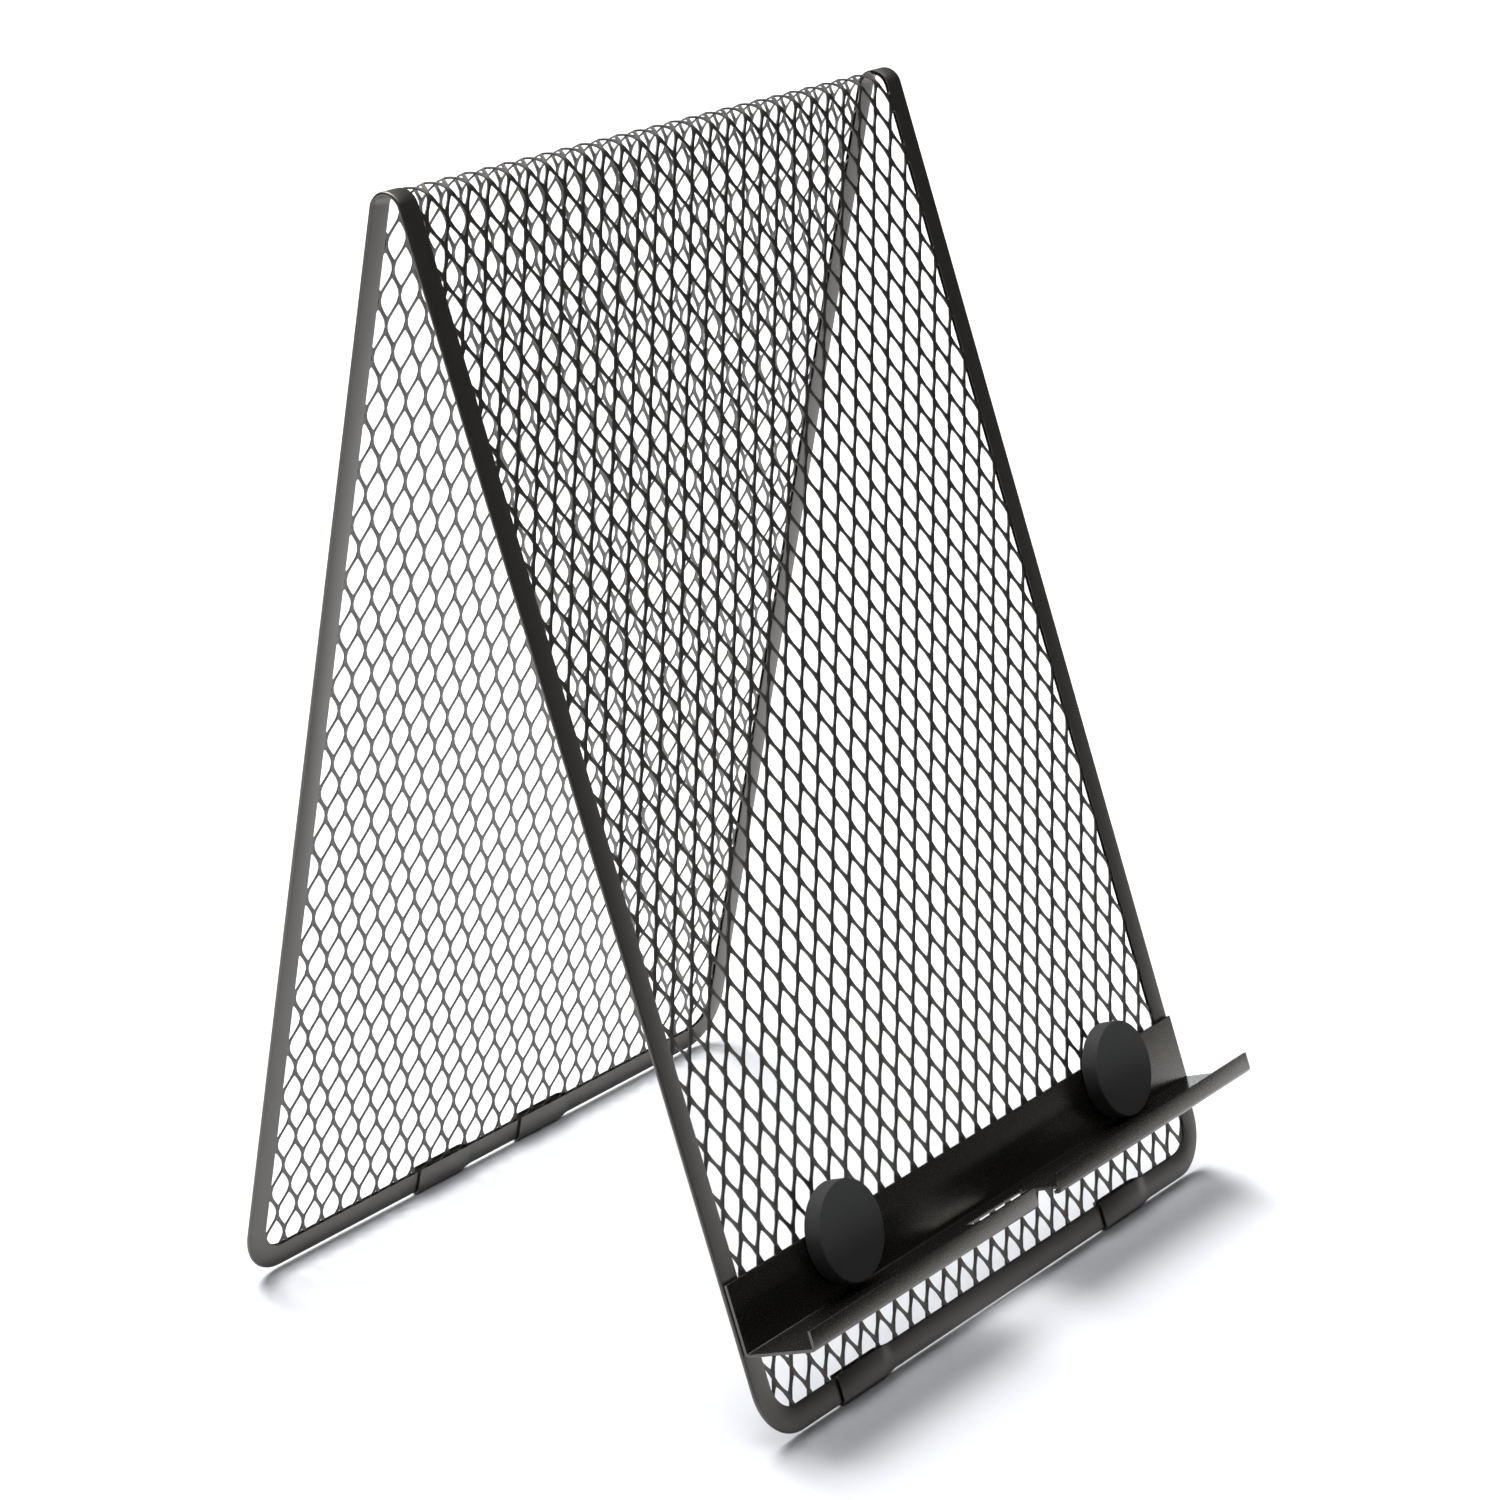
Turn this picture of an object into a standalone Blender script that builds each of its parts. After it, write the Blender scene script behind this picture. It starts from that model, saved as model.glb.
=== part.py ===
"""Book display stand: an A-frame of expanded metal bound in folded steel channel, with a
folded page ledge across its front and two loose magnets.

Metres, +Z up, front towards -Y, origin at the middle of the base. The frame and its mesh
are laid out flat, as across, along and out, and then folded over the ridge.
"""

import math

import bpy
from mathutils import Matrix, Vector
from mathutils.geometry import delaunay_2d_cdt

COLLECTION = "book_display_stand"

# Overall form, over the outer faces of the two legs
WIDTH = 0.216
FOOT_SPAN = 0.17105
RIDGE_Y = 0.02641
RIDGE_Z = 0.31306
RIDGE_RADIUS = 0.0052

# Edge channel
CHANNEL_WIDTH = 0.0067
CHANNEL_THICKNESS = 0.0012
CHANNEL_WALL = 0.0003
CORNER_RADIUS = 0.0145
CORNER_STEPS = 7
RIDGE_STEPS = 12
EDGE_STEPS = 6

# Swaged joints: each mouth faces -X and takes a plain end
SWAGE_RISE = 0.0007
SWAGE_LENGTH = 0.0246
SWAGE_TAPER = 0.0036
TAPER_STEPS = 4
PLAIN_END_DEPTH = 0.0185
FRONT_MOUTHS = (-0.0763, 0.0515)
REAR_MOUTHS = (-0.0360, 0.0093)

# Expanded mesh, drawn four times coarser than the real one with the same open area
MESH_THICKNESS = 0.00036
MESH_EDGE = 0.0014
MESH_BORDER = 0.0056
CELL_WIDTH = 4 * 0.007716
CELL_LENGTH = 4 * 0.01467
BOND_LENGTH = 4 * 0.0033
HALF_STRAND = 4 * 0.0004

# Page ledge: distances up the front leg and out from its face
SHEET = 0.0009
LEDGE_WIDTH = 0.2152
LEDGE_GAP = 0.0003
LEDGE_BOTTOM = 0.0240
LEDGE_TOP = 0.0429
LEDGE_REACH = 0.0224
LIP_TOP = 0.0295
BEND_RADIUS = 0.0012
BEND_STEPS = 4
WINDOW_ACROSS = (-0.0162, 0.0107)
WINDOW_OUT = (0.0062, 0.0200)
WINDOW_CORNER = 0.0007
WINDOW_STEPS = 4
NOTCH_ACROSS = (-0.0048, 0.0062)

# Magnets: where each centre is, across and up the front leg
MAGNETS = {"left": (-0.0616, 0.0399), "right": (0.07165, 0.03855)}
MAGNET_RADIUS = 0.0132
MAGNET_HEIGHT = 0.0050
MAGNET_EDGE = 0.0004
MAGNET_SKIN = 0.0016
MAGNET_STEPS = 40
EDGE_TURNS = 3
FIT_GAP = 0.0003
MERGE = 0.00001
SMOOTH_ANGLE = math.radians(35)

PAINT = (0.085, 0.083, 0.080, 1)
MESH_PAINT = (0.07, 0.068, 0.066, 1)
CAP_PAINT = (0.030, 0.032, 0.036, 1)
FERRITE = (0.05, 0.05, 0.05, 1)

FRONT_LEAN = math.atan2(FOOT_SPAN / 2 + RIDGE_Y, RIDGE_Z)
REAR_LEAN = math.atan2(FOOT_SPAN / 2 - RIDGE_Y, RIDGE_Z)
RIDGE_TURN = math.pi - FRONT_LEAN - REAR_LEAN
RIDGE_TANGENT = RIDGE_RADIUS / math.tan((FRONT_LEAN + REAR_LEAN) / 2)
RIDGE_START = math.hypot(FOOT_SPAN / 2 + RIDGE_Y, RIDGE_Z) - RIDGE_TANGENT
RIDGE_END = RIDGE_START + RIDGE_RADIUS * RIDGE_TURN
REAR_LENGTH = math.hypot(FOOT_SPAN / 2 - RIDGE_Y, RIDGE_Z) - RIDGE_TANGENT
FLAT_LENGTH = RIDGE_END + REAR_LENGTH

# The box round the whole object, so that the origin is at the middle of its base
LEDGE_FRONT = 0.098202
BASE_RISE = 0.000916
REAR_REACH = 0.086102
CENTRE_Y = (REAR_REACH - LEDGE_FRONT) / 2
FRONT_FOOT = Vector((0, -FOOT_SPAN / 2 - CENTRE_Y, BASE_RISE))
FRONT_UP = Vector((0, math.sin(FRONT_LEAN), math.cos(FRONT_LEAN)))
FRONT_OUT = Vector((0, -math.cos(FRONT_LEAN), math.sin(FRONT_LEAN)))


def collection(name):
    found = bpy.data.collections.new(name)
    bpy.context.scene.collection.children.link(found)
    return found


def material(name, colour, roughness, metallic):
    made = bpy.data.materials.new(name)
    made.use_nodes = True
    made.diffuse_color = colour
    shader = made.node_tree.nodes["Principled BSDF"]
    shader.inputs["Base Color"].default_value = colour
    shader.inputs["Roughness"].default_value = roughness
    shader.inputs["Metallic"].default_value = metallic
    return made


def add_object(name, points, edges, faces, into, place=None):
    """An object from points in metres, ready for the modifiers that give it its body."""
    mesh = bpy.data.meshes.new(name)
    mesh.from_pydata([tuple(point) for point in points], edges, faces)
    made = bpy.data.objects.new(name, mesh)
    into.objects.link(made)
    if place is not None:
        made.matrix_world = place
    return made


def solidify(piece, thickness, offset):
    """Thickens an open surface: an offset of -1 is behind its faces, and 0 is half each way."""
    shell = piece.modifiers.new("wall", "SOLIDIFY")
    shell.thickness = thickness
    shell.offset = offset
    shell.use_even_offset = True
    shell.use_quality_normals = True


def shade_round(piece):
    """Applies the modifiers and shades the curved faces smooth."""
    graph = bpy.context.evaluated_depsgraph_get()
    solid = bpy.data.meshes.new_from_object(piece.evaluated_get(graph))
    solid.name = piece.name
    piece.modifiers.clear()
    piece.data = solid
    solid.shade_smooth()
    solid.set_sharp_from_angle(angle=SMOOTH_ANGLE)
    return piece


def fold(across, along, out):
    """The flat pattern's point once the sheet is folded over the ridge."""
    if along <= RIDGE_START:
        return FRONT_FOOT + FRONT_UP * along + FRONT_OUT * out + Vector((across, 0, 0))
    turned = min((along - RIDGE_START) / RIDGE_RADIUS, RIDGE_TURN)
    beyond = max(along - RIDGE_END, 0)
    centre = FRONT_FOOT + FRONT_UP * RIDGE_START - FRONT_OUT * RIDGE_RADIUS
    outward = FRONT_OUT * math.cos(turned) + FRONT_UP * math.sin(turned)
    onward = FRONT_UP * math.cos(turned) - FRONT_OUT * math.sin(turned)
    across_only = Vector((across, 0, 0))
    return centre + outward * (RIDGE_RADIUS + out) + onward * beyond + across_only


def ridge_stations():
    return [
        RIDGE_START + (RIDGE_END - RIDGE_START) * step / RIDGE_STEPS
        for step in range(RIDGE_STEPS + 1)
    ]


def leg_frame(across, up):
    """The place of a piece on the front leg: its X across, its Y up the leg, its Z out from it."""
    turn = Matrix.Rotation(math.pi / 2 - FRONT_LEAN, 4, "X")
    return Matrix.Translation(FRONT_FOOT + FRONT_UP * up + Vector((across, 0, 0))) @ turn


# Edge channel


def corner_points(side, end, first, last):
    """Stations round one corner, as (spot, inward): side is -1 or 1, end is 0 in front."""
    centre = Vector((side * (WIDTH / 2 - CORNER_RADIUS), CORNER_RADIUS))
    if end:
        centre.y = FLAT_LENGTH - CORNER_RADIUS
    found = []
    for step in range(CORNER_STEPS + 1):
        turn = first + (last - first) * step / CORNER_STEPS
        inward = Vector((math.cos(turn), math.sin(turn)))
        found.append((centre - inward * CORNER_RADIUS, inward))
    return found


def bottom_point(across, end):
    """A station on the front or rear bottom edge."""
    inward = Vector((0, 1)) if end == 0 else Vector((0, -1))
    return Vector((across, end)), inward


def side_stations(side):
    """Stations from the front bottom edge over the ridge to the rear one, round both corners."""
    inward = Vector((-side, 0))
    quarter = math.pi / 2
    sideways = 0 if side < 0 else math.pi
    found = corner_points(side, 0, quarter, sideways)
    found += [(Vector((side * WIDTH / 2, along)), inward) for along in ridge_stations()]
    found += corner_points(side, FLAT_LENGTH, sideways, -quarter if side < 0 else 3 * quarter)
    return found


def swage_stations(mouth, end):
    """Stations and rises of a swaged end, from its mouth to the plain channel beyond it."""
    found = [(bottom_point(mouth, end), SWAGE_RISE)]
    start = mouth + SWAGE_LENGTH - SWAGE_TAPER
    for step in range(TAPER_STEPS + 1):
        share = step / TAPER_STEPS
        rise = SWAGE_RISE * (1 - share * share * (3 - 2 * share))
        found.append((bottom_point(start + SWAGE_TAPER * share, end), rise))
    return found


def channel_section(rise):
    """The channel's outside, from one edge of its slot to the other, as (depth, out)."""
    middle = -CHANNEL_THICKNESS / 2
    radius = CHANNEL_THICKNESS / 2 + rise
    edge = CHANNEL_WIDTH + rise
    points = [(edge, middle + radius)]
    for step in range(EDGE_STEPS + 1):
        turn = math.pi * step / EDGE_STEPS
        points.append((-middle - radius * math.sin(turn), middle + radius * math.cos(turn)))
    points.append((edge, middle - radius))
    return points


def channel(name, stations, into):
    """A length of channel, its outside swept through the stations and folded over the ridge."""
    (first, inward), (second, _) = stations[0][0], stations[1][0]
    if (second - first).cross(inward) < 0:
        stations = stations[::-1]
    points = []
    for (spot, inward), rise in stations:
        for depth, out in channel_section(rise):
            place = spot + inward * depth
            points.append(fold(place.x, place.y, out))
    count = EDGE_STEPS + 3
    faces = []
    for start in range(0, (len(stations) - 1) * count, count):
        for i in range(start, start + count - 1):
            faces.append((i, i + 1, i + 1 + count, i + count))
    made = add_object(name, points, [], faces, into)
    solidify(made, CHANNEL_WALL, -1)
    return shade_round(made)


def build_rims(into):
    plain = [(station, 0) for station in side_stations(-1)]
    first = (bottom_point(FRONT_MOUTHS[0] + PLAIN_END_DEPTH, 0), 0)
    last = (bottom_point(REAR_MOUTHS[0] + PLAIN_END_DEPTH, FLAT_LENGTH), 0)
    rails = [channel("rim_left", [first] + plain + [last], into)]
    front_swage = swage_stations(FRONT_MOUTHS[1], 0)
    rear_swage = swage_stations(REAR_MOUTHS[1], FLAT_LENGTH)
    plain = [(station, 0) for station in side_stations(1)]
    rails.append(channel("rim_right", front_swage + plain + rear_swage[::-1], into))
    for name, mouths, end in (
        ("rim_front", FRONT_MOUTHS, 0),
        ("rim_rear", REAR_MOUTHS, FLAT_LENGTH),
    ):
        last = (bottom_point(mouths[1] + PLAIN_END_DEPTH, end), 0)
        rails.append(channel(name, swage_stations(mouths[0], end) + [last], into))
    return rails


# Expanded mesh


def rounded_outline(inset):
    """The flat outline, drawn in by the inset, with its corners rounded about the same centres."""
    radius = CORNER_RADIUS - inset
    points = []
    for quarter, (side, end) in enumerate(((1, 1), (-1, 1), (-1, 0), (1, 0))):
        centre_x = side * (WIDTH / 2 - CORNER_RADIUS)
        centre_y = FLAT_LENGTH - CORNER_RADIUS if end else CORNER_RADIUS
        for step in range(CORNER_STEPS + 1):
            turn = math.pi / 2 * (quarter + step / CORNER_STEPS)
            points.append(
                Vector((centre_x + radius * math.cos(turn), centre_y + radius * math.sin(turn)))
            )
    return points


def clip(polygon, outline):
    """The part of a polygon inside a convex outline that runs anticlockwise."""
    for start, end in zip(outline, outline[1:] + outline[:1]):
        way = end - start
        kept = []
        for a, b in zip(polygon, polygon[1:] + polygon[:1]):
            side_a = way.cross(a - start)
            side_b = way.cross(b - start)
            if side_a >= 0:
                kept.append(a)
            if side_a * side_b < 0:
                kept.append(a.lerp(b, side_a / (side_a - side_b)))
        polygon = kept
        if not polygon:
            break
    return polygon


def area(polygon):
    return sum(a.cross(b) for a, b in zip(polygon, polygon[1:] + polygon[:1])) / 2


def inside(point, polygon):
    return all(
        (b - a).cross(point - a) > 0 for a, b in zip(polygon, polygon[1:] + polygon[:1])
    )


def mesh_holes():
    """The holes of the mesh: six-sided, in staggered rows, and cut off by the solid border."""
    shoulder = BOND_LENGTH / 2
    tip = (CELL_LENGTH - BOND_LENGTH) / 2
    slope = math.hypot(CELL_WIDTH / 2, tip - shoulder) / (CELL_WIDTH / 2)
    half = CELL_WIDTH / 2 - HALF_STRAND
    tip_in = tip - HALF_STRAND * slope
    shoulder_in = tip_in - half * (tip - shoulder) / (CELL_WIDTH / 2)
    shape = ((0, -tip_in), (half, -shoulder_in), (half, shoulder_in))
    shape += ((0, tip_in), (-half, shoulder_in), (-half, -shoulder_in))
    border = rounded_outline(MESH_BORDER)
    rows = int(FLAT_LENGTH / CELL_LENGTH) + 2
    holes = []
    for row in range(2 * rows):
        shift = CELL_WIDTH / 2 * (row % 2)
        for column in range(-4, 5):
            centre = Vector((column * CELL_WIDTH + shift, row * CELL_LENGTH / 2))
            hole = clip([centre + Vector(spot) for spot in shape], border)
            if len(hole) > 2 and area(hole) > 1.5e-5:
                holes.append(hole)
    return holes


def build_mesh(into):
    outline = rounded_outline(MESH_EDGE)
    holes = mesh_holes()
    spots = []
    edges = []
    for polygon in [outline] + holes:
        first = len(spots)
        spots += polygon
        edges += [
            (first + i, first + (i + 1) % len(polygon)) for i in range(len(polygon))
        ]
    reach = WIDTH / 2 - MESH_EDGE
    for along in ridge_stations():
        edges.append((len(spots), len(spots) + 1))
        spots += [Vector((-reach, along)), Vector((reach, along))]
    flat, _, triangles, *_ = delaunay_2d_cdt(spots, edges, [], 0, 1e-7)
    kept = []
    for triangle in triangles:
        middle = sum((flat[i] for i in triangle), Vector((0, 0))) / 3
        if not any(inside(middle, hole) for hole in holes):
            kept.append(tuple(triangle))
    used = sorted({i for triangle in kept for i in triangle})
    index = {old: new for new, old in enumerate(used)}
    kept = [tuple(index[i] for i in triangle) for triangle in kept]
    middle = -CHANNEL_THICKNESS / 2
    points = [fold(flat[i].x, flat[i].y, middle) for i in used]
    sheet = add_object("mesh_sheet", points, [], kept, into)
    solidify(sheet, MESH_THICKNESS, 0)
    return shade_round(sheet)


# Page ledge


def rounded_box(across, out, corner):
    """The corners of a window as (across, out), each rounded."""
    points = []
    for quarter, (i, j) in enumerate(((1, 1), (0, 1), (0, 0), (1, 0))):
        centre_x = across[i] + (corner if i == 0 else -corner)
        centre_y = out[j] + (corner if j == 0 else -corner)
        for step in range(WINDOW_STEPS + 1):
            turn = math.pi / 2 * (quarter + step / WINDOW_STEPS)
            points.append((centre_x + corner * math.cos(turn), centre_y + corner * math.sin(turn)))
    return points


def cutter(name, outline, low, high, into):
    """A prism through the ledge, its outline in (across, out), between two heights."""
    points = [(across, low, out) for across, out in outline]
    made = add_object(name, points, [], [tuple(range(len(outline)))], into, leg_frame(0, 0))
    solidify(made, high - low, -1)
    made.hide_render = True
    made.display_type = "WIRE"
    return made


def build_ledge(into, cutters):
    """The ledge's underside as a strip with two bends, thickened upwards, then cut."""
    line = ((LEDGE_TOP, LEDGE_GAP), (LEDGE_BOTTOM, LEDGE_GAP))
    line += ((LEDGE_BOTTOM, LEDGE_REACH), (LIP_TOP, LEDGE_REACH))
    points = [(side * LEDGE_WIDTH / 2, up, out) for side in (-1, 1) for up, out in line]
    count = len(line)
    faces = [(i + count, i + count + 1, i + 1, i) for i in range(count - 1)]
    ledge = add_object("page_ledge", points, [], faces, into, leg_frame(0, 0))
    bends = ledge.modifiers.new("bends", "BEVEL")
    bends.width = BEND_RADIUS
    bends.segments = BEND_STEPS
    bends.limit_method = "ANGLE"
    solidify(ledge, SHEET, -1)
    notch_out = (WINDOW_OUT[1] - 2 * SHEET, LEDGE_REACH + SHEET)
    notch = [(NOTCH_ACROSS[i], notch_out[j]) for i, j in ((0, 0), (1, 0), (1, 1), (0, 1))]
    window = rounded_box(WINDOW_ACROSS, WINDOW_OUT, WINDOW_CORNER)
    low = LEDGE_BOTTOM - SHEET
    for tool in (
        cutter("window_cutter", window, low, LEDGE_BOTTOM + 2 * SHEET, cutters),
        cutter("notch_cutter", notch, low, LIP_TOP + SHEET, cutters),
    ):
        cut = ledge.modifiers.new(tool.name, "BOOLEAN")
        cut.operation = "DIFFERENCE"
        cut.solver = "EXACT"
        cut.object = tool
    return ledge


# Magnets


def turned(name, profile, place, into):
    """A profile of (radius, out) from the top of the axis down its outer side, turned round it."""
    points = [(radius, 0, out) for radius, out in profile]
    edges = [(i, i + 1) for i in range(len(points) - 1)]
    made = add_object(name, points, edges, [], into, place)
    turn = made.modifiers.new("turn", "SCREW")
    turn.steps = MAGNET_STEPS
    turn.render_steps = MAGNET_STEPS
    turn.use_merge_vertices = True
    turn.merge_threshold = MERGE
    return shade_round(made)


def build_magnet(name, across, up, into):
    """A cap, open at the back, and the disc inside it, both about the magnet's own axis."""
    place = leg_frame(across, up)
    back = LEDGE_GAP + SHEET + FIT_GAP
    front = back + MAGNET_HEIGHT
    bore = MAGNET_RADIUS - MAGNET_SKIN
    ceiling = front - MAGNET_SKIN
    cap = [(0, front)]
    for step in range(EDGE_TURNS + 1):
        turn = math.pi / 2 * step / EDGE_TURNS
        radius = MAGNET_RADIUS - MAGNET_EDGE * (1 - math.sin(turn))
        cap.append((radius, front - MAGNET_EDGE * (1 - math.cos(turn))))
    cap += [(MAGNET_RADIUS, back), (bore, back), (bore, ceiling), (0, ceiling)]
    core_radius = bore - FIT_GAP
    core_top = ceiling - FIT_GAP
    core = [(0, core_top), (core_radius, core_top), (core_radius, back), (0, back)]
    return [
        turned(f"magnet_{name}_cap", cap, place, into),
        turned(f"magnet_{name}_core", core, place, into),
    ]



def main():
    for leftover in list(bpy.data.objects):
        bpy.data.objects.remove(leftover)
    bpy.context.scene.unit_settings.scale_length = 1
    parts = collection(COLLECTION)
    cutters = collection("cutters")
    finishes = {}
    for piece in build_rims(parts):
        finishes[piece] = (PAINT, 0.42, 0.0)
    finishes[build_mesh(parts)] = (MESH_PAINT, 0.45, 0.0)
    finishes[build_ledge(parts, cutters)] = (PAINT, 0.42, 0.0)
    for name, (across, up) in MAGNETS.items():
        cap, core = build_magnet(name, across, up, parts)
        finishes[cap] = (CAP_PAINT, 0.45, 0.0)
        finishes[core] = (FERRITE, 0.6, 0.0)
    for piece, (colour, roughness, metallic) in finishes.items():
        finish = material(f"{piece.name}_finish", colour, roughness, metallic)
        piece.data.materials.append(finish)


main()
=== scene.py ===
"""Looks of the book display stand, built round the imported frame.

The edge channel, the expanded mesh, the page ledge and the magnet caps are remade here with
their fine shape. Channel and mesh are laid out flat as (across, along, out) and then folded over
the ridge, as the CAD part is. The magnets' ferrite discs stay as the CAD has them.
"""

import math

import bmesh
import bpy
import numpy as np
from mathutils import Matrix, Vector


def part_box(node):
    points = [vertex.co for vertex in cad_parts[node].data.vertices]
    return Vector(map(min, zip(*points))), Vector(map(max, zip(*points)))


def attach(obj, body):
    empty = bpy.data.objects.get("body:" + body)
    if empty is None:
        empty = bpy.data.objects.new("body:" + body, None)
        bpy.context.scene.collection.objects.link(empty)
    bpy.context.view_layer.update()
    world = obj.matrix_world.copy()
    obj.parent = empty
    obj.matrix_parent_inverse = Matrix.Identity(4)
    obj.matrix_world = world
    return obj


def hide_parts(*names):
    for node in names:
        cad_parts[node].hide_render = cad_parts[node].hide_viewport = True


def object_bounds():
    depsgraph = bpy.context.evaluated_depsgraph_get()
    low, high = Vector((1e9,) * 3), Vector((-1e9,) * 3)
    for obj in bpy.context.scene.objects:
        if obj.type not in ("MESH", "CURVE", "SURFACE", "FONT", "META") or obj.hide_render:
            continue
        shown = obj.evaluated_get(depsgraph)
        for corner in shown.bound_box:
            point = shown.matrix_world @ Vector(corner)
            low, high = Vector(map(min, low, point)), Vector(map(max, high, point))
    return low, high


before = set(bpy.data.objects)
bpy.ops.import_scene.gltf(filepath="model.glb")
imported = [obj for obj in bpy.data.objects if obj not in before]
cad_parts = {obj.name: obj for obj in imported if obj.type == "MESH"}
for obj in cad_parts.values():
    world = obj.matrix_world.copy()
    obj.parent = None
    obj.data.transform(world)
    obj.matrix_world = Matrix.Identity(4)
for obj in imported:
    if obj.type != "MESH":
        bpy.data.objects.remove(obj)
CAD_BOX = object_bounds()

MM = 0.001

# Overall form, over the outer faces of the two legs. RIDGE_Y and RIDGE_Z are where these meet.
FOOT_SPAN = 171.05 * MM
RIDGE_Y = 26.41 * MM
RIDGE_Z = 313.06 * MM
RIDGE_RADIUS = 5.2 * MM
RIDGE_STEPS = 20
FACE_WIDTH = CAD_BOX[1][0] - CAD_BOX[0][0]

# An edge is drawn sharp where its two faces meet at more than this
CHANNEL_CREASE = math.radians(40)
MESH_CREASE = math.radians(50)
LEDGE_CREASE = math.radians(35)
MAGNET_CREASE = math.radians(30)

# Edge channel
CHANNEL_WIDTH = 6.7 * MM
CHANNEL_THICKNESS = 1.2 * MM
CHANNEL_WALL = 0.3 * MM
CORNER_RADIUS = 14.5 * MM
CORNER_STEPS = 18
EDGE_STEPS = 14
LIP_STEPS = 4

# Swaged joints: each mouth faces -X and takes a plain end. The mouths are places across.
FRONT_MOUTHS = (-76.3 * MM, 51.5 * MM)
REAR_MOUTHS = (-36.0 * MM, 9.3 * MM)
SWAGE_RISE = 0.7 * MM
SWAGE_LENGTH = 24.6 * MM
SWAGE_TAPER = 6.0 * MM
TAPER_STEPS = 10
PLAIN_END_DEPTH = 18.5 * MM
MOUTH_EASE = 0.12 * MM
MOUTH_STEPS = 3

# Expanded mesh. A bond is the spot where four strands meet. One bond on each leg, as (across,
# up from that leg's foot), places the staggered rows, and BLEND_ROWS joins them over the ridge.
# REAR_COLUMN is the rear bond's column, counted from the front one, and a skew is the sideways
# drift per row. The rear leg's holes are a little narrower along SQUEEZE_WAY.
CELL_WIDTH = 7.716 * MM
FRONT_CELL = 14.67 * MM
REAR_CELL = 14.71 * MM
FRONT_BOND = (36.06 * MM, 140.21 * MM)
REAR_BOND = (-54.12 * MM, 98.17 * MM)
FRONT_SKEW = -0.042 * MM
REAR_SKEW = 0.024 * MM
REAR_COLUMN = -11.5
BLEND_ROWS = (9, 15)
BOND_LENGTH = 3.35 * MM
HOLE_HALF_WIDTH = 3.33 * MM
HOLE_HALF_LENGTH = 5.15 * MM
HOLE_POWER = 1.5
MESH_THICKNESS = 0.38 * MM
STRAND_ROUNDING = 0.09 * MM
STRAND_SLOPE = 0.2
REAR_SQUEEZE = 0.035
SQUEEZE_WAY = (0.718, -0.696)
MESH_EDGE = 1.6 * MM
JITTER = 0.05 * MM
JITTER_SEED = 7
RIDGE_CUTS = 10
CORNER_CUTS = 4
MERGE_DISTANCE = 0.004 * MM
CUT_TOLERANCE = 0.0001 * MM

# Page ledge: distances up the front leg and out from its face
SHEET = 0.9 * MM
LEDGE_WIDTH = 215.2 * MM
LEDGE_GAP = 0.3 * MM
LEDGE_BOTTOM = 24.0 * MM
LEDGE_TOP = 42.9 * MM
LEDGE_REACH = 22.4 * MM
LIP_TOP = 29.5 * MM
BEND_RADIUS = 1.2 * MM
BEND_STEPS = 10
LEDGE_EASE = 0.10 * MM
LEDGE_EASE_STEPS = 3
LEDGE_EASE_ANGLE = math.radians(40)
WINDOW_ACROSS = (-16.2 * MM, 10.7 * MM)
WINDOW_OUT = (6.2 * MM, 20.0 * MM)
WINDOW_CORNER = 0.7 * MM
NOTCH_ACROSS = (-4.8 * MM, 6.2 * MM)
NOTCH_CORNER = 0.4 * MM
NOTCH_OVERRUN = 3.0 * MM
WINDOW_STEPS = 6

# Magnets, each at (across, up the front leg)
MAGNET_RADIUS = 13.2 * MM
MAGNET_HEIGHT = 5.0 * MM
MAGNET_EDGE = 0.4 * MM
MAGNET_SKIN = 1.6 * MM
MAGNET_GAP = 0.3 * MM
MAGNET_BACK_EASE = 0.2 * MM
MAGNET_EDGE_STEPS = 8
MAGNET_FACE_RING = 0.6
MAGNET_STEPS = 128
MAGNETS = {"left": (-61.6 * MM, 39.9 * MM), "right": (71.65 * MM, 38.55 * MM)}

# Camera, from the middle of the base
LENS = 105.6
SENSOR = 36
CAMERA_AWAY = (-0.90075, -0.63114, 0.49798)
CAMERA_AIM = (0.77739, 0.54628, -0.31184)
CAMERA_UP = (0.25755, 0.17587, 0.95013)

# Floor, along the view: it ends close by on the right, so that the stand's front mirrors the dark
FLOOR_LENGTH = 5.6
FLOOR_LEFT = 2.2
FLOOR_RIGHT = 0.8

FRONT_LEAN = math.atan2(FOOT_SPAN / 2 + RIDGE_Y, RIDGE_Z)
REAR_LEAN = math.atan2(FOOT_SPAN / 2 - RIDGE_Y, RIDGE_Z)
RIDGE_TURN = math.pi - FRONT_LEAN - REAR_LEAN
RIDGE_TANGENT = RIDGE_RADIUS / math.tan((FRONT_LEAN + REAR_LEAN) / 2)
RIDGE_START = math.hypot(FOOT_SPAN / 2 + RIDGE_Y, RIDGE_Z) - RIDGE_TANGENT
RIDGE_END = RIDGE_START + RIDGE_RADIUS * RIDGE_TURN
FLAT_LENGTH = RIDGE_END + math.hypot(FOOT_SPAN / 2 - RIDGE_Y, RIDGE_Z) - RIDGE_TANGENT
FRONT_UP = np.array((0, math.sin(FRONT_LEAN), math.cos(FRONT_LEAN)))
FRONT_OUT = np.array((0, -math.cos(FRONT_LEAN), math.sin(FRONT_LEAN)))


def front_foot():
    """The foot line of the front leg, found from the ledge, whose lip is foremost."""
    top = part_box("page_ledge")[1]
    back = FRONT_UP * LEDGE_TOP + FRONT_OUT * LEDGE_GAP
    front = back + FRONT_OUT * SHEET
    return np.array((0, top.y - back[1], top.z - front[2]))


FOOT = front_foot()


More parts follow.
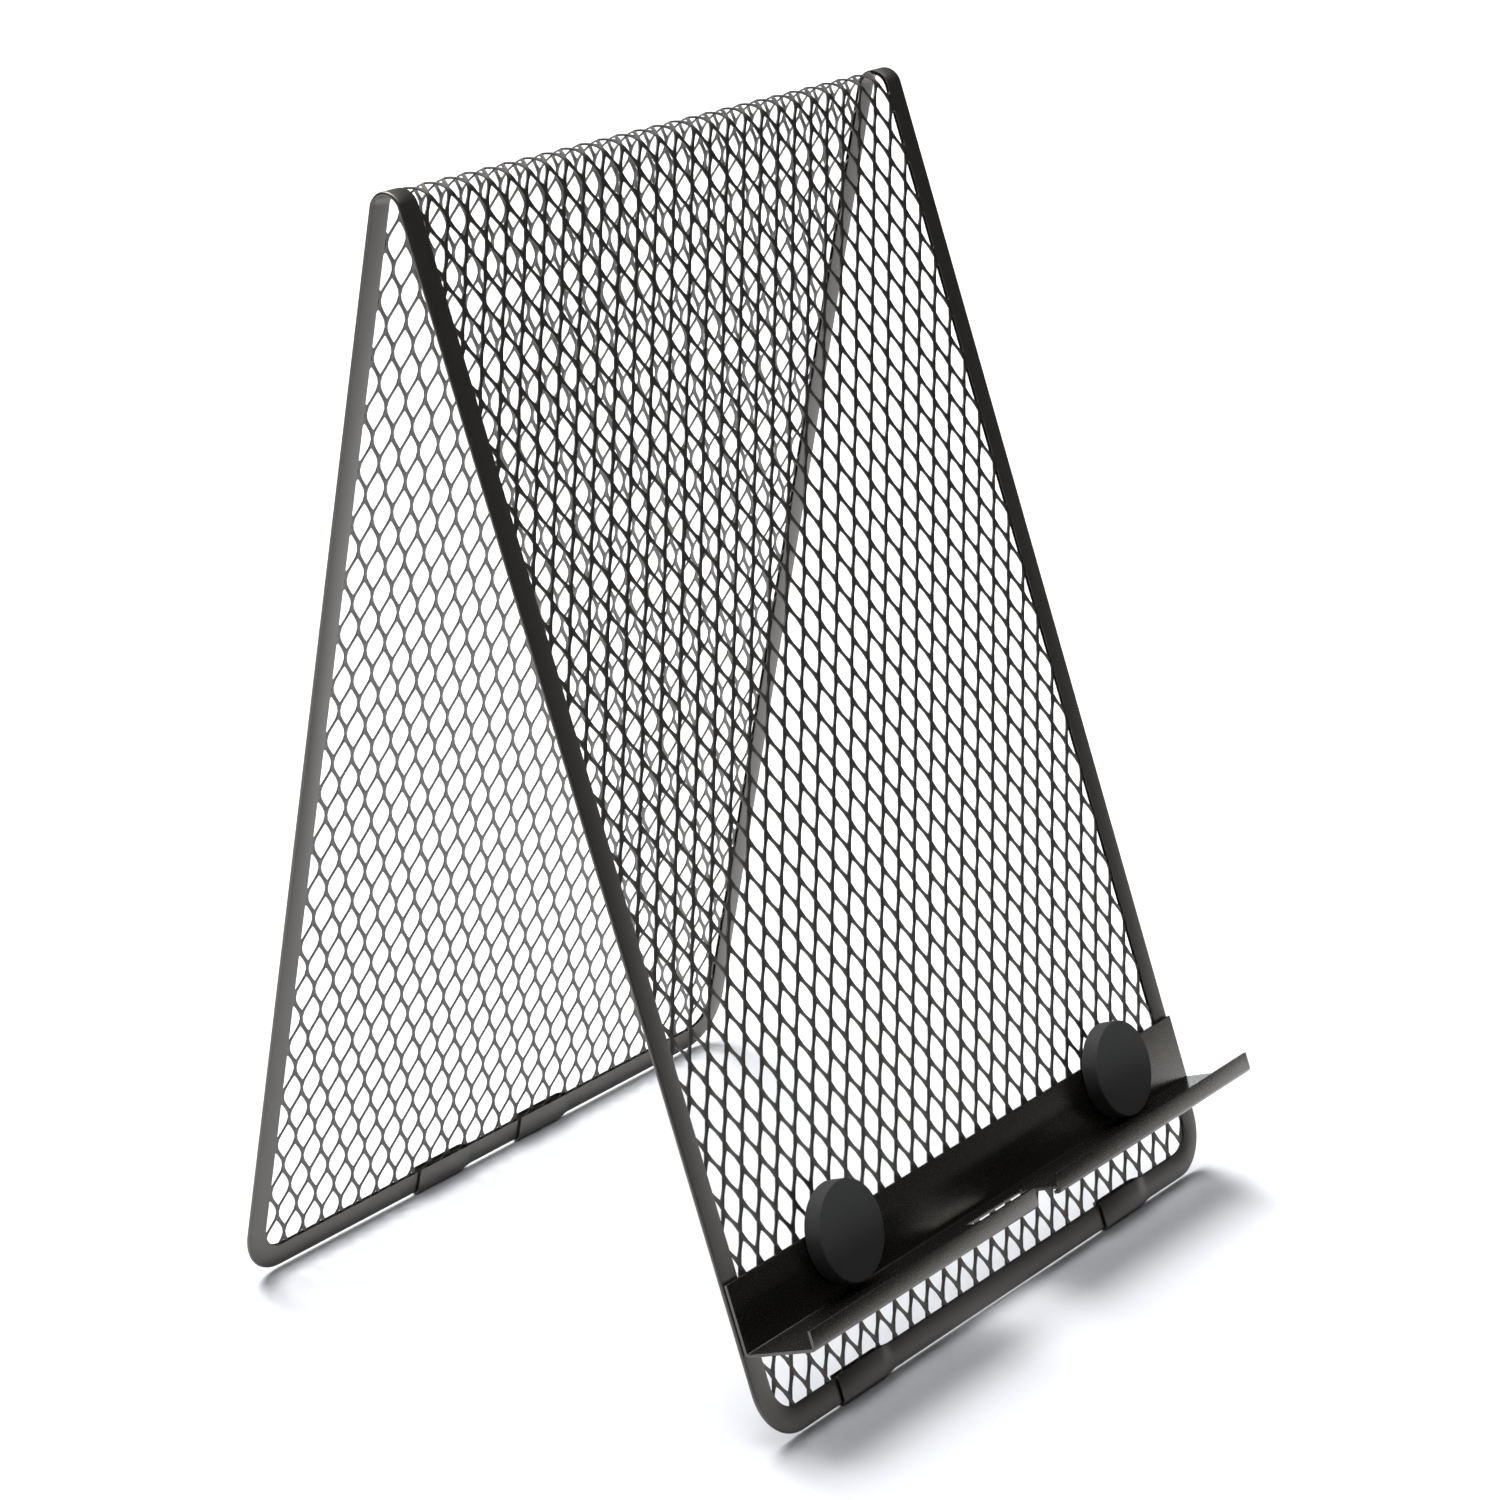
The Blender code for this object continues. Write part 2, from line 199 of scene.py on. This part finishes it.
def fold(points):
    """Flat points (across, along, out) once the sheet is folded over the ridge."""
    points = np.asarray(points, float)
    across, along, out = points.T
    turned = np.clip((along - RIDGE_START) / RIDGE_RADIUS, 0, RIDGE_TURN)[:, None]
    level = np.minimum(along, RIDGE_START)[:, None]
    beyond = np.maximum(along - RIDGE_END, 0)[:, None]
    outward = FRONT_OUT * np.cos(turned) + FRONT_UP * np.sin(turned)
    onward = FRONT_UP * np.cos(turned) - FRONT_OUT * np.sin(turned)
    centre = FOOT + FRONT_UP * level - FRONT_OUT * RIDGE_RADIUS
    folded = centre + outward * (RIDGE_RADIUS + out[:, None]) + onward * beyond
    folded[:, 0] += across
    return folded


def ridge_stations(steps):
    return [
        RIDGE_START + (RIDGE_END - RIDGE_START) * step / steps for step in range(steps + 1)
    ]


def leg_frame(across=0, up=0):
    """A place on the front leg: X across, Y inwards, Z up the leg."""
    spot = Vector(FOOT + FRONT_UP * up) + Vector((across, 0, 0))
    return Matrix.Translation(spot) @ Matrix.Rotation(-FRONT_LEAN, 4, "X")


def add_mesh(name, points, faces, smooth_angle):
    """A mesh object whose faces point outwards, shaded smooth below an angle."""
    mesh = bpy.data.meshes.new(name)
    mesh.from_pydata([tuple(point) for point in points], [], faces)
    return finish_mesh(name, mesh, smooth_angle)


def finish_mesh(name, mesh, smooth_angle):
    shape = bmesh.new()
    shape.from_mesh(mesh)
    bmesh.ops.recalc_face_normals(shape, faces=shape.faces)
    shape.to_mesh(mesh)
    shape.free()
    mesh.shade_smooth()
    mesh.set_sharp_from_angle(angle=smooth_angle)
    made = bpy.data.objects.new(name, mesh)
    bpy.context.scene.collection.objects.link(made)
    return made


def settle(piece, body, slot, finish, *nodes):
    """Gives a piece its finish in its only material slot, its body and the CAD nodes it stands for.
    The slot argument is not used.
    """
    piece.data.materials.clear()
    piece.data.materials.append(finish)
    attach(piece, body)
    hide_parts(*nodes)


# Materials

PATCH_SCALE = 14
SPECKLE_SHARE = 0.65
GLOSS_SPREAD = 0.06
COAT_RELIEF = 0.03 * MM
WARM = (1.0, 0.94, 0.86)


def link(tree, source, output, target, entry):
    tree.links.new(source.outputs[output], target.inputs[entry])


def coating(name, dark, light, roughness, grain, relief=COAT_RELIEF, tint=(1, 1, 1), index=1.5):
    """A painted or moulded surface: clouded colour, with fine grain in colour, gloss and height."""
    made = bpy.data.materials.new(name)
    made.use_nodes = True
    tree = made.node_tree
    shader = tree.nodes["Principled BSDF"]
    shader.inputs["Specular Tint"].default_value = (*tint, 1)
    shader.inputs["IOR"].default_value = index
    place = tree.nodes.new("ShaderNodeTexCoord")
    patches = tree.nodes.new("ShaderNodeTexNoise")
    patches.inputs["Scale"].default_value = PATCH_SCALE
    patches.inputs["Detail"].default_value = 4
    speckle = tree.nodes.new("ShaderNodeTexNoise")
    speckle.inputs["Scale"].default_value = grain
    speckle.inputs["Detail"].default_value = 3
    speckle.inputs["Roughness"].default_value = 0.7
    blend = tree.nodes.new("ShaderNodeMath")
    blend.operation = "MULTIPLY_ADD"
    blend.inputs[1].default_value = 1 - SPECKLE_SHARE
    tone = tree.nodes.new("ShaderNodeMix")
    tone.data_type = "RGBA"
    tone.inputs[6].default_value = (*dark, 1)
    tone.inputs[7].default_value = (*light, 1)
    gloss = tree.nodes.new("ShaderNodeMapRange")
    gloss.inputs["To Min"].default_value = roughness - GLOSS_SPREAD
    gloss.inputs["To Max"].default_value = roughness + GLOSS_SPREAD
    bump = tree.nodes.new("ShaderNodeBump")
    bump.inputs["Strength"].default_value = 0.55
    bump.inputs["Distance"].default_value = relief
    share = tree.nodes.new("ShaderNodeMath")
    share.operation = "MULTIPLY"
    share.inputs[1].default_value = SPECKLE_SHARE
    for texture in (patches, speckle):
        link(tree, place, "Object", texture, "Vector")
    link(tree, speckle, "Fac", share, 0)
    link(tree, patches, "Fac", blend, 0)
    link(tree, share, 0, blend, 2)
    link(tree, blend, 0, tone, "Factor")
    link(tree, tone, 2, shader, "Base Color")
    link(tree, speckle, "Fac", gloss, "Value")
    link(tree, gloss, "Result", shader, "Roughness")
    link(tree, speckle, "Fac", bump, "Height")
    link(tree, bump, "Normal", shader, "Normal")
    return made


def build_finishes():
    edge = ((0.011, 0.0106, 0.010), (0.021, 0.0205, 0.019))
    mesh = ((0.010, 0.0096, 0.009), (0.019, 0.0185, 0.0175))
    # The ledge's black paint is set darker than the edge and mesh coats as painted shade, so that
    # the shaded inside of the ledge reads near black.
    ledge = ((0.002, 0.002, 0.0018), (0.005, 0.0048, 0.0045))
    cap = ((0.036, 0.036, 0.037), (0.046, 0.046, 0.047))
    core = ((0.030, 0.030, 0.031), (0.070, 0.069, 0.068))
    return {
        "edge": coating("edge_powder_coat", *edge, 0.37, 2600, tint=WARM, index=1.95),
        "mesh": coating("mesh_powder_coat", *mesh, 0.42, 3000, tint=WARM, index=1.95),
        "ledge": coating("ledge_powder_coat_and_painted_shade", *ledge, 0.26, 2400, tint=WARM, index=1.95),
        "cap": coating("magnet_cap_plastic", *cap, 0.66, 1500, 0.015 * MM, index=1.35),
        "core": coating("magnet_ferrite", *core, 0.62, 1800, 0.05 * MM),
    }


# Edge channel


def corner_stations(side, end, first, last):
    """Stations round one corner of the flat outline, as (spot, inward)."""
    centre = Vector((side * (FACE_WIDTH / 2 - CORNER_RADIUS), CORNER_RADIUS))
    if end:
        centre.y = FLAT_LENGTH - CORNER_RADIUS
    found = []
    for step in range(CORNER_STEPS + 1):
        turn = first + (last - first) * step / CORNER_STEPS
        inward = Vector((math.cos(turn), math.sin(turn)))
        found.append((centre - inward * CORNER_RADIUS, inward))
    return found


def bottom_station(across, end):
    return Vector((across, end)), Vector((0, -1 if end else 1))


def side_stations(side):
    """Stations from the front bottom edge over the ridge to the rear one."""
    inward = Vector((-side, 0))
    sideways = 0 if side < 0 else math.pi
    found = corner_stations(side, 0, math.pi / 2, sideways)
    found += [
        (Vector((side * FACE_WIDTH / 2, along)), inward) for along in ridge_stations(RIDGE_STEPS)
    ]
    last = -math.pi / 2 if side < 0 else 3 * math.pi / 2
    return found + corner_stations(side, FLAT_LENGTH, sideways, last)


def swage_stations(mouth, end):
    """Stations and rises of a swaged end, from its eased mouth to the plain channel."""
    found = []
    for step in range(MOUTH_STEPS + 1):
        turn = math.pi / 2 * step / MOUTH_STEPS
        ease = MOUTH_EASE * (1 - math.sin(turn))
        inset = MOUTH_EASE * (1 - math.cos(turn))
        found.append((bottom_station(mouth + inset, end), SWAGE_RISE - ease))
    start = mouth + SWAGE_LENGTH - SWAGE_TAPER
    for step in range(TAPER_STEPS + 1):
        share = step / TAPER_STEPS
        rise = SWAGE_RISE * (1 - share * share * (3 - 2 * share))
        found.append((bottom_station(start + SWAGE_TAPER * share, end), rise))
    return found


def channel_section(rise):
    """The closed outline of the channel's wall as (depth, out), its two lips rounded."""
    middle = -CHANNEL_THICKNESS / 2
    outer = CHANNEL_THICKNESS / 2 + rise
    inner = outer - CHANNEL_WALL
    lip = CHANNEL_WALL / 2
    reach = CHANNEL_WIDTH + rise - lip
    right = math.pi / 2
    arcs = (
        (-middle, middle, outer, right, 3 * right, EDGE_STEPS),
        (reach, middle - outer + lip, lip, -right, right, LIP_STEPS),
        (-middle, middle, inner, 3 * right, right, EDGE_STEPS),
        (reach, middle + outer - lip, lip, -right, right, LIP_STEPS),
    )
    points = []
    for depth, out, radius, first, last, steps in arcs:
        for step in range(steps + 1):
            turn = first + (last - first) * step / steps
            points.append((depth + radius * math.cos(turn), out + radius * math.sin(turn)))
    return points


def channel(name, stations):
    """A length of channel swept through the stations and folded."""
    flat = []
    for (spot, inward), rise in stations:
        for depth, out in channel_section(rise):
            flat.append((spot.x + inward.x * depth, spot.y + inward.y * depth, out))
    count = len(channel_section(0))
    faces = []
    for station in range(len(stations) - 1):
        base = station * count
        for i in range(count):
            j = (i + 1) % count
            faces.append((base + i, base + j, base + count + j, base + count + i))
    faces += [tuple(range(count)), tuple(range(len(flat) - count, len(flat)))]
    return add_mesh(name, fold(flat), faces, CHANNEL_CREASE)


def build_edges(finish):
    left = [(station, 0) for station in side_stations(-1)]
    left.insert(0, (bottom_station(FRONT_MOUTHS[0] + PLAIN_END_DEPTH, 0), 0))
    left.append((bottom_station(REAR_MOUTHS[0] + PLAIN_END_DEPTH, FLAT_LENGTH), 0))
    right = swage_stations(FRONT_MOUTHS[1], 0)
    right += [(station, 0) for station in side_stations(1)]
    right += swage_stations(REAR_MOUTHS[1], FLAT_LENGTH)[::-1]
    runs = {"left": left, "right": right}
    for name, mouths, end in (("front", FRONT_MOUTHS, 0), ("rear", REAR_MOUTHS, FLAT_LENGTH)):
        runs[name] = swage_stations(mouths[0], end)
        runs[name].append((bottom_station(mouths[1] + PLAIN_END_DEPTH, end), 0))
    for name, stations in runs.items():
        piece = channel(f"edge_{name}", stations)
        settle(piece, "stand", "edge_paint", finish, f"rim_{name}")


# Expanded mesh


def lattice_points(places):
    """Flat places of lattice positions (column, row). Bonds are at whole pairs and at half pairs."""
    column, row = np.asarray(places, float).T
    rear_row = round((FLAT_LENGTH - REAR_BOND[1] - FRONT_BOND[1]) / FRONT_CELL * 2) / 2
    share = np.clip((row - BLEND_ROWS[0]) / (BLEND_ROWS[1] - BLEND_ROWS[0]), 0, 1)
    share = share * share * (3 - 2 * share)
    front_x = FRONT_BOND[0] + CELL_WIDTH * column + FRONT_SKEW * row
    front_y = FRONT_BOND[1] + FRONT_CELL * row
    rear_x = REAR_BOND[0] + CELL_WIDTH * (column - REAR_COLUMN) - REAR_SKEW * (row - rear_row)
    rear_y = FLAT_LENGTH - REAR_BOND[1] + REAR_CELL * (row - rear_row)
    across = front_x + (rear_x - front_x) * share
    along = front_y + (rear_y - front_y) * share
    return np.stack([across, along], axis=1)


def cell_loops():
    """The strand centreline round a hole and the hole's edge, as matching points."""
    tip = (FRONT_CELL - BOND_LENGTH) / 2
    bond = BOND_LENGTH / 2
    shares = (0, 1 / 3, 2 / 3, 1)
    quarter = [(CELL_WIDTH / 2 * share, tip - (tip - bond) * share) for share in shares]
    quarter.append((CELL_WIDTH / 2, 0))
    half = quarter + [(x, -y) for x, y in quarter[-2::-1]]
    outer = half + [(-x, y) for x, y in half[-2:0:-1]]
    hole = []
    for x, y in outer:
        height = y / tip * HOLE_HALF_LENGTH
        width = HOLE_HALF_WIDTH * (1 - abs(height / HOLE_HALF_LENGTH) ** HOLE_POWER)
        hole.append((math.copysign(width, x) if x else 0.0, height))
    return np.array(outer), np.array(hole)


def cell_rings():
    """Five rings round one hole, from the upper centreline through the hole to the lower one."""
    outer, hole = cell_loops()
    outward = (outer - hole) / np.linalg.norm(outer - hole, axis=1)[:, None]
    spread = hole + outward * STRAND_ROUNDING
    level = np.full((len(outer), 1), MESH_THICKNESS / 2)
    flat = (outer, spread, hole, spread, outer)
    heights = (level, level, 0 * level, -level, -level)
    rings = np.vstack([np.hstack(ring) for ring in zip(flat, heights)])
    rings[:, 2] += STRAND_SLOPE * (rings[:, 0] - np.tile(outer[:, 0], len(flat)))
    return rings, len(outer)


def mesh_centres():
    """Lattice positions of all the holes on the sheet, with their distance along it."""
    columns = int(FACE_WIDTH / CELL_WIDTH) + 6
    first_row = -int(FRONT_BOND[1] / FRONT_CELL) - 2
    rows = int(FLAT_LENGTH / FRONT_CELL) + 4
    found = []
    for double_row in range(2 * first_row, 2 * (first_row + rows)):
        for whole in range(-columns, columns):
            centre = np.array((whole + 0.5 + 0.5 * (double_row % 2), double_row / 2))
            across, along = lattice_points([centre])[0]
            inside = abs(across) <= FACE_WIDTH / 2 + CELL_WIDTH
            if inside and -FRONT_CELL < along < FLAT_LENGTH + FRONT_CELL:
                found.append((centre, along))
    return found


def flat_mesh():
    """The points and faces of the whole sheet before it is clipped and folded."""
    rings, count = cell_rings()
    ring_faces = []
    for ring in range(4):
        for i in range(count):
            j = (i + 1) % count
            a, b = ring * count, (ring + 1) * count
            ring_faces.append((a + i, b + i, b + j, a + j))
    middle_rings = slice(count, 4 * count)
    squeeze = REAR_SQUEEZE * np.outer(rings[middle_rings, :2] @ SQUEEZE_WAY, SQUEEZE_WAY)
    rng = np.random.default_rng(JITTER_SEED)
    pitch = np.array((CELL_WIDTH, FRONT_CELL))
    places = []
    faces = []
    for number, (centre, along) in enumerate(mesh_centres()):
        base = number * len(rings)
        cell = rings[:, :2].copy()
        if along > RIDGE_END:
            cell[middle_rings] -= squeeze
        cell = cell / pitch + centre
        cell[middle_rings] += rng.normal(0, JITTER / 2, 2) / pitch
        places.append(cell)
        faces.extend([tuple(base + i for i in face) for face in ring_faces])
    out = np.tile(rings[:, 2], len(places)) - CHANNEL_THICKNESS / 2
    return np.hstack([lattice_points(np.vstack(places)), out[:, None]]), faces


def build_expanded_mesh(finish):
    """The mesh, clipped to the channel, cut at stations round the ridge, halved and folded."""
    points, faces = flat_mesh()
    mesh = bpy.data.meshes.new("expanded_mesh")
    mesh.from_pydata(points.tolist(), [], faces)
    shape = bmesh.new()
    shape.from_mesh(mesh)
    bmesh.ops.remove_doubles(shape, verts=shape.verts, dist=MERGE_DISTANCE)
    clip_to_channel(shape)
    for along in ridge_stations(RIDGE_CUTS):
        near = [f for f in shape.faces if abs(f.calc_center_median().y - along) < FRONT_CELL / 2]
        cut(shape, near, (0, along, 0), (0, 1, 0), False)
    middle = (RIDGE_START + RIDGE_END) / 2
    for name, side in (("front", 1), ("rear", -1)):
        half = shape.copy()
        dropped = [f for f in half.faces if (f.calc_center_median().y - middle) * side > 0]
        bmesh.ops.delete(half, geom=dropped, context="FACES")
        ends = [e for e in half.edges if e.is_boundary]
        bmesh.ops.holes_fill(half, edges=ends, sides=0)
        part = bpy.data.meshes.new(f"expanded_mesh_{name}")
        half.to_mesh(part)
        half.free()
        flat = np.empty(len(part.vertices) * 3)
        part.vertices.foreach_get("co", flat)
        part.vertices.foreach_set("co", fold(flat.reshape(-1, 3)).ravel())
        piece = finish_mesh(f"expanded_mesh_{name}", part, MESH_CREASE)
        settle(piece, "stand", "mesh_paint", finish, "mesh_sheet")
    shape.free()


def cut(shape, faces, place, normal, clear):
    """Cuts some faces at a plane and, if clear is set, removes what is beyond it.

    The edges and corners are gathered in order, so that each run gives the same mesh.
    """
    edges = dict.fromkeys(edge for face in faces for edge in face.edges)
    verts = dict.fromkeys(vert for face in faces for vert in face.verts)
    bmesh.ops.bisect_plane(
        shape,
        geom=[*faces, *edges, *verts],
        dist=CUT_TOLERANCE,
        plane_co=place,
        plane_no=normal,
        clear_outer=clear,
    )


def clip_to_channel(shape):
    """Keeps the mesh inside the slot of the channel, corners included."""
    reach = FACE_WIDTH / 2 - MESH_EDGE
    planes = [((side * reach, 0, 0), (side, 0, 0)) for side in (-1, 1)]
    planes += [((0, MESH_EDGE, 0), (0, -1, 0)), ((0, FLAT_LENGTH - MESH_EDGE, 0), (0, 1, 0))]
    for side in (-1, 1):
        for end in (0, 1):
            centre = Vector((side * (FACE_WIDTH / 2 - CORNER_RADIUS), CORNER_RADIUS, 0))
            centre.y = FLAT_LENGTH - CORNER_RADIUS if end else CORNER_RADIUS
            for step in range(1, CORNER_CUTS):
                turn = math.pi / 2 * step / CORNER_CUTS
                way = Vector((side * math.cos(turn), (1 if end else -1) * math.sin(turn), 0))
                planes.append((centre + way * (CORNER_RADIUS - MESH_EDGE), way))
    for place, normal in planes:
        place = Vector(place)
        normal = Vector(normal)
        near = [
            f
            for f in shape.faces
            if (f.calc_center_median() - place).dot(normal) > -CELL_WIDTH
        ]
        cut(shape, near, place, normal, True)


# Page ledge


def ledge_line(depth):
    """One surface of the folded sheet as (out, up), the given depth in from its underside."""
    radius = BEND_RADIUS - depth
    low = LEDGE_BOTTOM + BEND_RADIUS
    line = [(LEDGE_GAP + depth, LEDGE_TOP)]
    bends = ((LEDGE_GAP + BEND_RADIUS, math.pi), (LEDGE_REACH - BEND_RADIUS, 1.5 * math.pi))
    for centre, first in bends:
        for step in range(BEND_STEPS + 1):
            turn = first + math.pi / 2 * step / BEND_STEPS
            line.append((centre + radius * math.cos(turn), low + radius * math.sin(turn)))
    return line + [(LEDGE_REACH - depth, LIP_TOP)]


def prism(name, outline, low, high):
    """A closed prism with an outline in (across, out), between two heights up the leg."""
    count = len(outline)
    points = [(across, -out, up) for up in (low, high) for across, out in outline]
    faces = [tuple(range(count)), tuple(range(count, 2 * count))]
    faces += [(i, (i + 1) % count, (i + 1) % count + count, i + count) for i in range(count)]
    made = add_mesh(name, points, faces, 0)
    made.matrix_world = leg_frame()
    return made


def rounded_box(across, out, corner):
    """The outline of a box in (across, out) with round corners."""
    points = []
    for quarter, (i, j) in enumerate(((1, 1), (0, 1), (0, 0), (1, 0))):
        centre_x = across[i] + (corner if i == 0 else -corner)
        centre_y = out[j] + (corner if j == 0 else -corner)
        for step in range(WINDOW_STEPS + 1):
            turn = math.pi / 2 * (quarter + step / WINDOW_STEPS)
            points.append((centre_x + corner * math.cos(turn), centre_y + corner * math.sin(turn)))
    return points


def build_ledge(finish):
    """The folded sheet, with the window cut in its floor and the notch cut in its lip."""
    line = ledge_line(0)
    profile = line + ledge_line(SHEET)[::-1]
    count = len(profile)
    half = len(line)
    points = [(side * LEDGE_WIDTH / 2, -out, up) for side in (-1, 1) for out, up in profile]
    faces = [(i, (i + 1) % count, (i + 1) % count + count, i + count) for i in range(count)]
    for base in (0, count):
        for i in range(half - 1):
            other = count - 1 - i
            faces.append((base + i, base + i + 1, base + other - 1, base + other))
    ledge = add_mesh("ledge", points, faces, LEDGE_CREASE)
    ledge.matrix_world = leg_frame()
    window = rounded_box(WINDOW_ACROSS, WINDOW_OUT, WINDOW_CORNER)
    notch_out = (WINDOW_OUT[1] - NOTCH_OVERRUN, LEDGE_REACH + NOTCH_OVERRUN)
    notch = rounded_box(NOTCH_ACROSS, notch_out, NOTCH_CORNER)
    cutters = [
        prism("window_cutter", window, LEDGE_BOTTOM - SHEET, LEDGE_BOTTOM + 2 * SHEET),
        prism("notch_cutter", notch, LEDGE_BOTTOM - SHEET, LIP_TOP + SHEET),
    ]
    for cutter in cutters:
        trim = ledge.modifiers.new(cutter.name, "BOOLEAN")
        trim.operation = "DIFFERENCE"
        trim.object = cutter
    ease = ledge.modifiers.new("eased_edges", "BEVEL")
    ease.width = LEDGE_EASE
    ease.segments = LEDGE_EASE_STEPS
    ease.limit_method = "ANGLE"
    ease.angle_limit = LEDGE_EASE_ANGLE
    apply_modifiers(ledge)
    for cutter in cutters:
        bpy.data.objects.remove(cutter)
    ledge.data.shade_smooth()
    ledge.data.set_sharp_from_angle(angle=LEDGE_CREASE)
    settle(ledge, "stand", "ledge_paint", finish, "page_ledge")


def apply_modifiers(piece):
    """Makes the shape that the modifiers give the piece's own mesh."""
    graph = bpy.context.evaluated_depsgraph_get()
    solid = bpy.data.meshes.new_from_object(piece.evaluated_get(graph))
    piece.modifiers.clear()
    piece.data = solid


# Magnets


def turned(name, profile, place):
    """A closed profile of (radius, out) turned about the leg's outward direction."""
    points = []
    rows = []
    for radius, out in profile:
        steps = MAGNET_STEPS if radius > 0 else 1
        rows.append([len(points) + i for i in range(steps)])
        for i in range(steps):
            turn = 2 * math.pi * i / MAGNET_STEPS
            points.append((radius * math.cos(turn), -out, radius * math.sin(turn)))
    faces = []
    for a, b in zip(rows, rows[1:] + rows[:1]):
        for i in range(MAGNET_STEPS):
            j = (i + 1) % MAGNET_STEPS
            corners = [a[i % len(a)], a[j % len(a)], b[j % len(b)], b[i % len(b)]]
            face = tuple(dict.fromkeys(corners))
            if len(face) > 2:
                faces.append(face)
    made = add_mesh(name, points, faces, MAGNET_CREASE)
    made.matrix_world = place
    return made


def cap_profile():
    """The moulded cap as (radius, out): open at the back, with a rounded front edge."""
    back = LEDGE_GAP + SHEET + MAGNET_GAP
    front = back + MAGNET_HEIGHT
    bore = MAGNET_RADIUS - MAGNET_SKIN
    rim = MAGNET_RADIUS - MAGNET_EDGE
    rounding = [
        (rim + MAGNET_EDGE * math.cos(turn), front - MAGNET_EDGE + MAGNET_EDGE * math.sin(turn))
        for turn in (math.pi / 2 * step / MAGNET_EDGE_STEPS for step in range(MAGNET_EDGE_STEPS + 1))
    ]
    side = [(MAGNET_RADIUS - MAGNET_BACK_EASE, back), (MAGNET_RADIUS, back + MAGNET_BACK_EASE)]
    face = [(MAGNET_FACE_RING * rim, front), (0, front)]
    inside = [(0, front - MAGNET_SKIN), (bore, front - MAGNET_SKIN)]
    return [(bore, back)] + side + rounding + face + inside


def build_magnets(finishes):
    cap = cap_profile()
    for name, (across, up) in MAGNETS.items():
        piece = turned(f"magnet_cap_{name}", cap, leg_frame(across, up))
        settle(piece, f"magnet_{name}", "magnet_cap", finishes["cap"], f"magnet_{name}_cap")
        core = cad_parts[f"magnet_{name}_core"]
        core.data.materials.clear()
        core.data.materials.append(finishes["core"])


# Stage


def studio_world():
    """A dark room that is seen as pale where nothing stands before it."""
    world = bpy.data.worlds.new("studio")
    world.use_nodes = True
    tree = world.node_tree
    room = tree.nodes["Background"]
    room.inputs["Color"].default_value = (0.9, 0.95, 1, 1)
    room.inputs["Strength"].default_value = 0.02
    pale = tree.nodes.new("ShaderNodeBackground")
    pale.inputs["Color"].default_value = (1, 1, 1, 1)
    rays = tree.nodes.new("ShaderNodeLightPath")
    choice = tree.nodes.new("ShaderNodeMixShader")
    link(tree, rays, "Is Camera Ray", choice, 0)
    link(tree, room, 0, choice, 1)
    link(tree, pale, 0, choice, 2)
    link(tree, choice, 0, tree.nodes["World Output"], 0)
    return world


def build_camera(aim):
    camera = bpy.data.objects.new("camera", bpy.data.cameras.new("camera"))
    bpy.context.scene.collection.objects.link(camera)
    side = aim.cross(Vector(CAMERA_UP)).normalized()
    turn = Matrix((side, side.cross(aim), -aim)).transposed().to_4x4()
    camera.matrix_world = Matrix.Translation(CAMERA_AWAY) @ turn
    camera.data.lens = LENS
    camera.data.sensor_width = SENSOR
    camera.data.clip_start = 0.05
    bpy.context.scene.camera = camera


def build_floor(aim):
    """A pale sheet of paper, laid in line with the view."""
    bpy.ops.mesh.primitive_plane_add(size=1)
    floor = bpy.context.object
    floor.name = "floor"
    floor.scale = (FLOOR_LENGTH, FLOOR_LEFT + FLOOR_RIGHT, 1)
    bearing = math.atan2(aim.y, aim.x)
    floor.rotation_euler.z = bearing
    shift = (FLOOR_LEFT - FLOOR_RIGHT) / 2
    floor.location = (-math.sin(bearing) * shift, math.cos(bearing) * shift, 0)
    paper = bpy.data.materials.new("paper")
    paper.use_nodes = True
    shader = paper.node_tree.nodes["Principled BSDF"]
    shader.inputs["Base Color"].default_value = (0.82, 0.835, 0.87, 1)
    shader.inputs["Roughness"].default_value = 0.9
    shader.inputs["Specular IOR Level"].default_value = 0.1
    floor.data.materials.append(paper)


def build_lights():
    """Soft panels above the stand, and a low one that the ledge's lip and back plate mirror."""
    for name, place, target, sides, power, colour in (
        ("overhead", (0.1, 0.4, 3.0), (0.1, 0.4, 0), (4.0, 4.0), 107, (1, 1, 1)),
        ("key", (-0.15, 0.6, 2.3), (0, 0, 0), (1.2, 1.2), 31, (1, 1, 1)),
        ("far_floor", (1.0, 2.1, 3.0), (1.8, 1.4, 0), (1.6, 1.6), 130, (1, 1, 1)),
        ("low_card", (1.55, -1.30, 0.04), (0, 0, 0.04), (2.3, 0.17), 1.0, (1, 0.96, 0.90)),
    ):
        lamp = bpy.data.objects.new(name, bpy.data.lights.new(name, "AREA"))
        lamp.data.shape = "RECTANGLE"
        lamp.data.size, lamp.data.size_y = sides
        lamp.data.energy = power
        lamp.data.color = colour
        bpy.context.scene.collection.objects.link(lamp)
        lamp.location = place
        way = Vector(target) - Vector(place)
        lamp.rotation_euler = way.to_track_quat("-Z", "Y").to_euler()


def build_stage():
    aim = Vector(CAMERA_AIM).normalized()
    build_camera(aim)
    build_floor(aim)
    build_lights()
    bpy.context.scene.world = studio_world()
    bpy.context.scene.view_settings.view_transform = "Standard"


finishes = build_finishes()
build_edges(finishes["edge"])
build_expanded_mesh(finishes["mesh"])
build_ledge(finishes["ledge"])
build_magnets(finishes)
build_stage()

bpy.context.view_layer.update()
